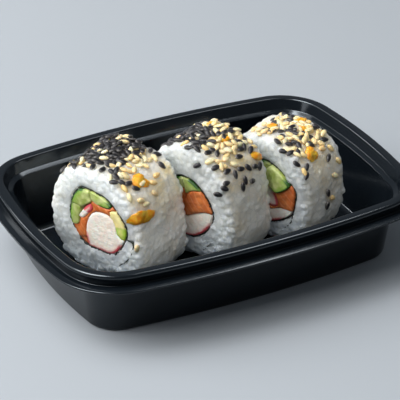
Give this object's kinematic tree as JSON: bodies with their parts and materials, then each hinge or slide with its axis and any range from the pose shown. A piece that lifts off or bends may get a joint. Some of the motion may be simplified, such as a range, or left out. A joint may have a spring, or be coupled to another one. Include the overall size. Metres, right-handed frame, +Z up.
{
  "type": "takeaway sushi tray",
  "caption": "Shallow black moulded takeaway tray with a stepped rim, holding thick inside-out sushi rolls set in a slanted row and topped with sesame seeds.",
  "frame": {"origin": "centre of the tray's flat underside, on the surface it stands on", "axes": "+X along the tray's long side, +Y towards its far long side, +Z up"},
  "size_m": [0.175, 0.1252, 0.0546],
  "materials": {
    "tray": "smooth moulded black plastic with a soft gloss",
    "rice": "moist pressed sushi rice, slightly translucent, with black and pale seeds",
    "nori": "thin dark green-black seaweed sheet",
    "crab_stick": "cream fibrous crab stick with a red skin",
    "salmon": "moist orange fish",
    "cucumber": "pale green flesh with a dark green skin",
    "avocado": "soft yellow-green flesh"
  },
  "bodies": {
    "root": {"roll_1_avocado": "avocado", "roll_1_crab": "crab_stick", "roll_1_crab_shred": "crab_stick", "roll_1_cucumber_side": "cucumber", "roll_1_cucumber_strip": "cucumber", "roll_1_cucumber_top": "cucumber", "roll_1_nori": "nori", "roll_1_rice": "rice", "roll_1_salmon_low": "salmon", "roll_1_salmon_side": "salmon", "roll_1_salmon_top": "salmon", "roll_2_avocado": "avocado", "roll_2_crab": "crab_stick", "roll_2_cucumber_side": "cucumber", "roll_2_cucumber_top": "cucumber", "roll_2_nori": "nori", "roll_2_rice": "rice", "roll_2_salmon_side": "salmon", "roll_2_salmon_top": "salmon", "roll_3_avocado": "avocado", "roll_3_crab": "crab_stick", "roll_3_crab_shred": "crab_stick", "roll_3_cucumber_side": "cucumber", "roll_3_cucumber_top": "cucumber", "roll_3_nori": "nori", "roll_3_rice": "rice", "roll_3_salmon_top": "salmon", "tray": "tray"}
  },
  "joints": []
}
